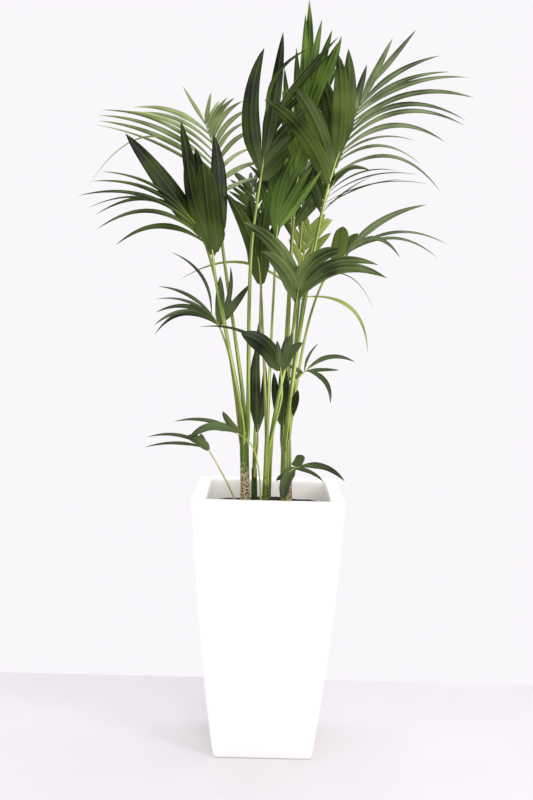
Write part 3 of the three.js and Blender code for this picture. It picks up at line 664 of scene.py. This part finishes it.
def across(a, d):
    """What is left of a without its part along the unit vector d."""
    return a - d * a.dot(d)


def mix(a, b, t):
    return a + (b - a) * t


# ---- the frond's rule

RACHIS_STEPS = 24
STEPS = 16  # along a leaflet

TILT_SCATTER = 12  # degrees that an aimed leaflet's upper side may stray
SPIN_SCATTER = 26  # degrees that it may turn on its own length

LONGEST_AT = 0.35  # share of the rachis where its paired leaflets are longest
FOOT_LOSS = 0.2  # share of the length that they lack at its foot
END_SHARE = 0.58  # share of the length that is left at its end
STAGGER = 0.35  # share of their spacing by which the right leaflets follow the left ones
INWARD_BOW = 8  # degrees that a paired leaflet curves back towards the rachis
PAIR_LIFT = 10  # degrees that it is lifted to the rachis's upper side
PAIR_TURN = 18  # degrees that its upper side turns away from the rachis
PAIR_SCATTER = (5, 4, 0.07, 0.25, 8)  # for its angle, lift, length, limpness and turn


def make_random(seed):
    """Draws the same numbers from -1 to 1 as for the solids."""
    factor, modulus = 16807, 2147483647
    state = [seed]

    def draw():
        state[0] = state[0] * factor % modulus
        return state[0] / modulus * 2 - 1

    return draw


def frond_frame(frond, s):
    """Tangent, sideways and upper-face directions at share s of the rachis."""
    rise = math.radians(frond["rise"] - frond["arch"] * s)
    head = math.radians(frond["head"] + frond.get("sway", 0) * s)
    along = Vector((math.cos(rise) * math.cos(head), math.cos(rise) * math.sin(head),
                    math.sin(rise)))
    level = Vector((math.sin(head), -math.cos(head), 0))
    upper = level.cross(along)
    return along, level, upper


def rachis_points(frond):
    points = [Vector(frond["at"])]
    for i in range(RACHIS_STEPS):
        along, _, _ = frond_frame(frond, (i + 0.5) / RACHIS_STEPS)
        points.append(points[-1] + along * (frond["long"] / RACHIS_STEPS))
    return points


def point_at(line, t):
    place = t * (len(line) - 1)
    k = min(int(place), len(line) - 2)
    return line[k].lerp(line[k + 1], place - k)


def length_share(t):
    """Share of the longest leaflets' length at share t of the rachis."""
    if t > LONGEST_AT:
        return 1 - (1 - END_SHARE) * ((t - LONGEST_AT) / (1 - LONGEST_AT)) ** 2
    return 1 - FOOT_LOSS * ((LONGEST_AT - t) / LONGEST_AT) ** 2


def width_share(u, breadth):
    """Share of a leaflet's full width at share u of its length.

    breadth is its width over its length: a broad one widens sooner and has a blunter tip.
    """
    bluntness = 1.7 + 15 * max(breadth - 0.03, 0)
    widening = 0.14 + 0.8 * breadth + (1.5 + 8 * breadth) * u
    return min(widening, 1) * max(0.0, 1 - u ** bluntness) ** 0.9


def between(keys, share):
    """The leaflet at a share of a row that runs through key leaflets."""
    place = share * (len(keys) - 1)
    k = min(int(place), len(keys) - 2)
    (t0, tip0, *rest0), (t1, tip1, *rest1) = keys[k], keys[k + 1]
    values = [mix(a, b, place - k) for a, b in zip([t0, *rest0], [t1, *rest1])]
    return values[0], Vector(tip0).lerp(Vector(tip1), place - k), *values[1:]


def spread_out(shares, gap):
    """Places along a rachis in the same order as before, but at least a gap apart."""
    order = sorted(range(len(shares)), key=lambda i: shares[i])
    placed = list(shares)
    for a, b in zip(order, order[1:]):
        placed[b] = max(placed[b], placed[a] + gap)
    reach = max([1, *placed])
    return [share / reach for share in placed]


def leaflets_of(frond):
    """Every leaflet as a path with its upper side's direction, its width and its length."""
    draw = make_random(frond["seed"])
    line = rachis_points(frond)
    leaflets = []

    def add_aimed(t, tip, width, arch, turn):
        """A leaflet to a known tip, bowed to its left by arch."""
        root = point_at(line, t)
        tip = Vector(tip)
        span = tip - root
        left = unit(Vector((-span.z, 0, span.x)))
        middle = (root + tip) / 2 + left * (2 * arch * span.length)
        tilt = math.radians(turn + TILT_SCATTER * draw())
        spin = math.radians(SPIN_SCATTER * draw())
        upper = Vector((0, -math.cos(tilt), math.sin(tilt)))
        path = []
        for k in range(STEPS + 1):
            u = k / STEPS
            point = root * (1 - u) ** 2 + middle * 2 * u * (1 - u) + tip * u * u
            direction = unit((middle - root) * (1 - u) + (tip - middle) * u)
            upper = unit(across(upper, direction))
            if k == 0:
                upper = upper * math.cos(spin) + upper.cross(direction) * math.sin(spin)
            path.append((point, direction, upper))
        leaflets.append((path, width, span.length))

    def add_free(t, side, spec):
        """A leaflet of a pair, which leaves the rachis at an angle and droops."""
        stray = [reach * draw() for reach in PAIR_SCATTER]
        share = length_share(t)
        angle = math.radians(mix(*spec["open"], t ** 0.8) + stray[0])
        lift = math.radians(PAIR_LIFT + stray[1])
        length = spec["leaf"] * share * (1 + stray[2])
        limp = spec["limp"] * share ** 1.5 * (1 + stray[3])
        turn = math.radians(-PAIR_TURN * side + stray[4])
        along, out, face = frond_frame(frond, t)
        sideways = out * side
        leave = sideways * math.cos(lift) + face * math.sin(lift)
        direction = along * math.cos(angle) + leave * math.sin(angle)
        upper = unit(across(face * math.cos(lift) - sideways * math.sin(lift), direction))
        edge = upper.cross(direction)
        upper = upper * math.cos(turn) + edge * math.sin(turn)
        point = point_at(line, t)
        path = []
        for k in range(STEPS + 1):
            u = k / STEPS
            upper = unit(across(upper, direction))
            path.append((point, direction, upper))
            point = point + direction * (length / STEPS)
            droop = across(Vector((0, 0, -1)), direction)
            direction = unit(direction + droop * (limp * (0.5 + u) / STEPS))
            inward = across(along, direction)
            if inward.length > 1e-6:
                direction = unit(direction + unit(inward) * math.radians(INWARD_BOW) / STEPS)
        leaflets.append((path, spec["wide"] * (0.6 + 0.4 * share), length))

    aimed = list(frond.get("leaves", []))
    for count, *keys in frond.get("rows", []):
        for i in range(count):
            t, tip, *rest = between(keys, i / (count - 1))
            aimed.append((t, tip + Vector([reach * draw() for reach in SCATTER]), *rest))
    places = spread_out([leaf[0] for leaf in aimed], ROOT_SPACING / frond["long"])
    for place, leaf in zip(places, aimed):
        add_aimed(place, *leaf[1:])
    left = frond.get("left")
    for side, late, spec in ((-1, 0, left), (1, STAGGER, frond.get("right", left))):
        for i in range(spec["pairs"] if spec else 0):
            add_free((i + late) / (spec["pairs"] - 1 + STAGGER), side, spec)
    return leaflets


# ---- leaflets

BLADE = 0.45  # thickness
BROAD = 28  # leaflets wider than this are darker
TWIST = 0.3  # most that a leaflet's tip turns against its root, in radians
RIPPLE = 0.03  # how much its width wavers, as a share
FOLD = 0.8  # how much more it is folded at its root, as a share

# Points across a leaflet and their heights, both as shares of its half width: a keel at the
# midrib, shallow pleats beside it and edges that turn down a little.
ACROSS = [(-1, -0.3), (-0.75, -0.12), (-0.45, -0.19), (-0.07, 0), (0.07, 0), (0.45, -0.19),
          (0.75, -0.12), (1, -0.3)]


def blade_rings(path, width, length, chance):
    """Cross sections of a leaflet, a little twisted and rippled, from its root to its tip."""
    spin = chance.uniform(-TWIST, TWIST)
    phase = chance.uniform(0, FULL_TURN)
    rings = []
    for k, (point, direction, upper) in enumerate(path[:-1]):
        u = k / STEPS
        turn = spin * u * u
        edge = upper.cross(direction)
        face = upper * math.cos(turn) + edge * math.sin(turn)
        edge = face.cross(direction)
        half = width * 0.5 * width_share(u, width / length)
        half *= 1 + RIPPLE * math.sin(9 * u + phase)
        fold = 1.0 + FOLD * (1 - u) ** 3
        ring = []
        for row, lift in ((ACROSS, BLADE / 2), (reversed(ACROSS), -BLADE / 2)):
            for share, height in row:
                spot = point + edge * (half * share) + face * (half * height * fold + lift)
                ring.append((spot, (half * share, length * u)))
        rings.append(ring)
    tip = path[-1][0]
    return [*rings, [(tip, (0.0, length))]]


def build_blades(name, frond):
    chance = random.Random(frond["seed"])
    skin, picks = ([], [], []), []
    for path, width, length in leaflets_of(frond):
        width *= frond.get("slim", 1)
        loft(blade_rings(path, width, length, chance), skin)
        shade = 2 if width > BROAD else chance.choice((0, 0, 1))
        picks += [shade] * (len(skin[1]) - len(picks))
    piece = mesh_piece(f"leaflets_{name}", skin, leaf_materials[frond["tone"]], picks)
    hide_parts(f"frond_{name}")


# ---- stalks

SEAT = 0.3  # gap between a stalk's foot and what it stands on
SUNK = 6  # how far a stem or a shoot reaches into the soil
STALK_GAP = 1  # between stalks on one stem
WIDEST_RING = 60.0  # radius that is wide enough for all stalks of a stem
STALK_STEPS = 30
STALK_SIDES = 14
UPPER_SHARE, UPPER_MOST = 0.62, 4.2  # a stalk's upper radius, as a share and at most
RACHIS_END = 0.9  # radius
STEEPER = 0.8  # how much more upright a stalk leaves its foot than straight to its end
HANDLES = (0.3, 0.233)  # its curve's handles, as shares of its reach

# A stalk's sheath from its lower end up: how far below the stalk's foot, how far in towards
# the stem's middle, and the radius as a share of the stalk's.
SHEATH = [(95, 0.62, 0.5), (60, 0.5, 0.8), (30, 0.3, 0.98), (12, 0.12, 1.0)]


def angle_between(a, b, ring):
    """Angle at the stem's middle between neighbours of radius a and b on a ring."""
    return 2 * math.asin(min(1, (a + b + STALK_GAP) / (2 * ring)))


def ring_radius(radii):
    """Radius on which round stalk feet of these radii just fit side by side."""
    low, high = max(radii), WIDEST_RING
    for _ in range(40):
        middle = (low + high) / 2
        closing = sum(angle_between(a, b, middle) for a, b in zip(radii, radii[1:] + radii[:1]))
        if closing > 2 * math.pi:
            low = middle
        else:
            high = middle
    return high


def stalk_feet():
    """Where each stalk stands: side by side round its stem's top, or on the soil."""
    feet = {}
    for key, stem in STEMS.items():
        x0, y0, z0 = stem["top"]
        bearing = {}
        for name, frond in FRONDS.items():
            if frond.get("stem") == key:
                x, y, _ = frond["at"]
                bearing[name] = math.atan2(y - y0, x - x0) % (2 * math.pi)
        names = sorted(bearing, key=bearing.get)
        radii = [FRONDS[name]["radius"] for name in names]
        ring = ring_radius(radii)
        turns = [0.0]
        for a, b in zip(radii, radii[1:]):
            turns.append(turns[-1] + angle_between(a, b, ring))
        lean = [bearing[name] - turn for name, turn in zip(names, turns)]
        start = math.atan2(sum(map(math.sin, lean)), sum(map(math.cos, lean)))
        for name, turn in zip(names, turns):
            feet[name] = Vector((x0 + ring * math.cos(start + turn),
                                 y0 + ring * math.sin(start + turn), z0 + SEAT))
    for name, frond in FRONDS.items():
        if "foot" in frond:
            feet[name] = Vector((*frond["foot"], SOIL["top_level"] + SEAT))
    return feet


def stalk_curve(frond, foot):
    """Points from the stalk's foot to the place where the rachis takes over."""
    along, _, _ = frond_frame(frond, 0)
    end = Vector(frond["at"]) - along * NECK
    reach = (end - foot).length
    leave = unit(unit(end - foot) + Vector((0, 0, STEEPER)))
    bend = Vector((*frond.get("bend", (0, 0)), 0))
    a = foot + leave * reach * HANDLES[0] + bend
    b = end - along * reach * HANDLES[1] + bend
    points = []
    for k in range(STALK_STEPS + 1):
        t = k / STALK_STEPS
        points.append(foot * (1 - t) ** 3 + a * 3 * t * (1 - t) ** 2
                      + b * 3 * t * t * (1 - t) + end * t ** 3)
    return points


def build_stalk(name, frond, foot):
    """The stalk and the rachis in one round limb, with the stalk's sheath below."""
    thick = frond["radius"]
    thin = min(thick * UPPER_SHARE, UPPER_MOST)
    limb = []
    if "stem" in frond:
        top = Vector(STEMS[frond["stem"]]["top"])
        low = Vector((*STEMS[frond["stem"]]["foot"], SOIL["top_level"]))
        down = unit(low - top)
        inward = across(top - foot, down)
        for drop, share, width in SHEATH:
            limb.append((foot + down * drop + inward * share, thick * width))
    else:
        limb.append((foot - Vector((0, 0, SUNK)), thick))
    for k, point in enumerate(stalk_curve(frond, foot)):
        limb.append((point, mix(thick, thin, (k / STALK_STEPS) ** 0.7)))
    for k, point in enumerate(rachis_points(frond)):
        limb.append((point, mix(thin, RACHIS_END, (k / RACHIS_STEPS) ** 0.8)))
    line = [point for point, _ in limb]
    rings = []
    side = Vector((1, 0, 0))
    run = 0.0
    for k, (point, radius) in enumerate(limb):
        before, after = line[max(k - 1, 0)], line[min(k + 1, len(line) - 1)]
        along = unit(after - before)
        side = unit(across(side, along))
        other = along.cross(side)
        run += (point - before).length
        ring = []
        for i, turn in enumerate(round_limb(STALK_SIDES)):
            spot = point + side * radius * math.cos(turn) + other * radius * math.sin(turn)
            ring.append((spot, (i * 2 * math.pi * thick / STALK_SIDES, run)))
        rings.append(ring)
    material = olive_stalk if frond["seed"] % 3 == 0 else green_stalk
    piece = mesh_piece(f"stalk_and_rachis_{name}", loft(rings), [material])
    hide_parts(f"stalk_{name}")


# ---- stems

STEM_STEPS = 70
STEM_SIDES = 28
FLARE = 1.5  # how much wider a stem is at its foot
FLARED = 10  # height of that foot
ABOVE_TOP = 4  # how far its end stands above the top that its stalks stand on
SCARRED = 130  # height of its older part, with the ring scars
SCAR_SPACING = (9, 16)
SCAR = {"height": 0.55, "width": 1.6, "faded": 160}  # they get lower up to where they fade
UNEVEN = 0.7  # how far its surface strays in and out
WRAP = 0.125  # how far the edges of its wrapped sheaths stand out


def build_stem(key, stem, material):
    """A stem of wrapped sheaths, with ring scars on its older foot."""
    chance = random.Random(ord(key))
    foot = Vector((*stem["foot"], SOIL["top_level"] - SUNK))
    top = Vector(stem["top"]) + Vector((0, 0, ABOVE_TOP))
    scars = [0.0]
    while scars[-1] < SCARRED + 10:  # the last ones lie past that part
        scars.append(scars[-1] + chance.uniform(*SCAR_SPACING))
    rings = []
    for k in range(STEM_STEPS + 1):
        t = k / STEM_STEPS
        middle = foot.lerp(top, t)
        height = (top.z - foot.z) * t
        radius = mix(*stem["radius"], t) + FLARE * max(0, 1 - height / FLARED)
        if height < SCARRED:
            off_scar = min(abs(height - s) for s in scars)
            swell = SCAR["height"] * math.exp(-(off_scar / SCAR["width"]) ** 2)
            radius += swell * (1 - height / SCAR["faded"])
        if k == STEM_STEPS:
            radius *= 0.6
        ring = []
        for i, turn in enumerate(round_limb(STEM_SIDES)):
            wave = noise.noise(Vector((math.cos(turn) * 1.3, math.sin(turn) * 1.3,
                                       height / 45 + ord(key))))
            r = radius + UNEVEN * wave + WRAP * math.sin(turn * 2 + height / 30)
            ring.append((middle + Vector((r * math.cos(turn), r * math.sin(turn), 0)),
                         (i * 2 * math.pi * stem["radius"][0] / STEM_SIDES, height)))
        rings.append(ring)
    piece = mesh_piece(f"sheathed_stem_{key}", loft(rings), [material])
    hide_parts(f"stem_{key}")


# ---- planter and soil

CORNER_STEPS = 7
EDGE_STEPS = 4


def planter_half(z):
    """Half the planter's outer width at height z."""
    t = z / PLANTER["height"]
    return mix(PLANTER["foot_half"], PLANTER["rim_half"], t) + PLANTER["swell"] * t * (1 - t)


def cavity_half(z):
    """Half its cavity's width at height z."""
    t = z / PLANTER["height"]
    return planter_half(z) - mix(PLANTER["wall_at_foot"], PLANTER["wall_at_rim"], t * t)


def grow_square(name, levels, material):
    """A piece from a rounded square drawn up, in and down through (height, half width) levels."""
    deselect_all()
    z, half = levels[0]
    bpy.ops.mesh.primitive_plane_add(size=2 * half * MM, location=(0, 0, z * MM))
    piece = bpy.context.object
    bpy.ops.object.mode_set(mode="EDIT")
    bpy.ops.mesh.select_all(action="SELECT")
    bpy.ops.mesh.bevel(offset=PLANTER["corner"] * MM, segments=CORNER_STEPS,
                       affect="VERTICES")
    for next_z, next_half in levels[1:]:
        bpy.ops.mesh.extrude_region_move(
            TRANSFORM_OT_translate={"value": (0, 0, (next_z - z) * MM)})
        share = next_half / half
        bpy.ops.transform.resize(value=(share, share, 1), center_override=(0, 0, next_z * MM))
        z, half = next_z, next_half
    bpy.ops.mesh.select_all(action="SELECT")
    bpy.ops.mesh.normals_make_consistent(inside=False)
    bpy.ops.object.mode_set(mode="OBJECT")
    bpy.ops.object.transform_apply(location=True, rotation=True, scale=True)
    bpy.ops.object.shade_smooth_by_angle(angle=math.radians(35))
    piece.name = name
    piece.data.materials.append(material)
    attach(piece, "root")
    return piece


def quarter(z, half, radius, start, end):
    """Points of a rounded edge about (z, half) between two angles in degrees."""
    points = []
    for k in range(EDGE_STEPS + 1):
        turn = math.radians(mix(start, end, k / EDGE_STEPS))
        points.append((z + radius * math.sin(turn), half + radius * math.cos(turn)))
    return points


def build_planter():
    """From the middle of the foot up the outside, over the rim and down to the floor."""
    height, outer, inner = PLANTER["height"], PLANTER["outer_edge"], PLANTER["inner_edge"]
    levels = [(0, planter_half(0) - outer - PLANTER["foot_inset"])]
    levels += quarter(outer, planter_half(0) - outer, outer, -90, 0)
    levels += [(z, planter_half(z)) for z in range(30, 740, 30)]
    levels += quarter(height - outer, planter_half(height) - outer, outer, 0, 90)
    levels += quarter(height - inner, cavity_half(height) + inner, inner, 90, 180)
    levels += [(z, cavity_half(z)) for z in (730, 700, 660, 600, 500, 400, 300, 200, 100)]
    levels.append((PLANTER["floor"], cavity_half(PLANTER["floor"])))
    piece = grow_square("square_planter", levels, planter_material())
    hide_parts("planter")


def build_soil(compost):
    """The root ball, 1 mm clear of the planter, with its top a little mounded."""
    wall_level = SOIL["wall_level"]
    levels = [(z, cavity_half(z) - 1) for z in (PLANTER["floor"] + 1, 100, 300, 500, 600)]
    levels.append((wall_level - 4, cavity_half(wall_level) - 1))
    levels += SOIL["mound"]
    piece = grow_square("root_ball", levels, compost)
    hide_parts("soil")


def build_crumbs(compost):
    """The crumbs and bark chips that lie on the root ball, each a rough, flat hexagon."""
    chance = random.Random(5)
    skin = ([], [], [])
    reach = cavity_half(SOIL["wall_level"]) - 6
    for _ in range(CRUMBS["count"]):
        x, y = chance.uniform(-reach, reach), chance.uniform(-reach, reach)
        past_top = max(math.hypot(x, y) - CRUMBS["top_radius"], 0)
        level = max(CRUMBS["top_level"] - past_top * CRUMBS["slope"], SOIL["wall_level"] - 3)
        size = chance.uniform(*CRUMBS["size"])
        middle = Vector((x, y, level + chance.uniform(-1, 1)))
        turn = Matrix.Rotation(chance.uniform(0, FULL_TURN), 3, "Z")
        shape = Vector((size * chance.uniform(0.7, 1.6), size, size * chance.uniform(0.4, 0.8)))
        rings = []
        for z, r in ((-0.8, 0.5), (0, 1.0), (0.75, 0.55)):
            ring = []
            for a in round_limb(6):
                rough = chance.uniform(0.75, 1.1)
                spot = Vector((shape.x * r * rough * math.cos(a),
                               shape.y * r * rough * math.sin(a), shape.z * z))
                ring.append((middle + turn @ spot, (x, y)))
            rings.append(ring)
        loft(rings, skin)
    mesh_piece("compost_crumbs", skin, [compost])


# ---- building

# each stem's material: its name, its dry sheaths' dark and light colour, its green ones' deep
# and light colour, and the height of the dry part
SHEATHS = {
    "a": ("dry_sheath_speckled", "#2c2213", "#c3b78b", "#22320a", "#667a2a", 115),
    "b": ("young_sheath_dark", "#1b220c", "#3c4520", "#1d2a0c", "#485c28", 30),
    "c": ("sheath_green", "#2e3612", "#66722f", "#435619", "#99a94f", 80),
    "d": ("dry_sheath_brown", "#4c3a28", "#bba883", "#435729", "#a5b367", 95),
    "e": ("sheath_olive", "#45421f", "#817a45", "#4a5f23", "#adbc69", 60),
}

build_planter()
compost = soil_material()
build_soil(compost)
build_crumbs(compost)
for key, stem in STEMS.items():
    build_stem(key, stem, stem_material(*SHEATHS[key]))
feet = stalk_feet()
for name, frond in FRONDS.items():
    build_stalk(name, frond, feet[name])
    build_blades(name, frond)

# ---- studio


def build_floor():
    """A floor of paper, 12 m wide and 5 m deep, that ends half a metre behind the plant's
    middle, and lies half a millimetre below the planter."""
    deselect_all()
    bpy.ops.mesh.primitive_plane_add(size=1, location=(0, -2.0, -0.0005))
    floor = bpy.context.object
    bpy.ops.transform.resize(value=(12, 5.04, 1))
    floor.name = "paper_floor"
    bpy.ops.object.transform_apply(location=True, rotation=True, scale=True)
    floor.data.materials.append(studio_material())


def add_softbox(name, place, aim, size, power):
    """A softbox at a place, turned to its aim, in metres and watts."""
    light = bpy.data.lights.new(name, "AREA")
    light.shape = "RECTANGLE"
    light.size, light.size_y = size
    light.energy = power
    lamp = link_object(name, light)
    lamp.location = place
    lamp.rotation_euler = (Vector(aim) - Vector(place)).to_track_quat("-Z", "Y").to_euler()


build_floor()
add_softbox("softbox_right", (2.3, -2.4, 2.4), (0, 0.1, 1.1), (1.0, 1.4), 44)
add_softbox("softbox_left", (-2.5, -2.2, 2.0), (0, 0.1, 1.1), (1.0, 1.4), 12)
add_softbox("softbox_front", (0.4, -3.6, 2.3), (0, 0.1, 1.0), (1.4, 1.0), 38)
add_softbox("softbox_top", (0, 0.9, 3.4), (0, 0.4, 0), (3.2, 1.2), 34)

world = bpy.data.worlds.new("studio_air")
world.use_nodes = True
air = world.node_tree.nodes["Background"]
air.inputs["Color"].default_value = linear("#faf7fb")
air.inputs["Strength"].default_value = 1.0
bpy.context.scene.world = world
bpy.context.scene.view_settings.view_transform = "Standard"
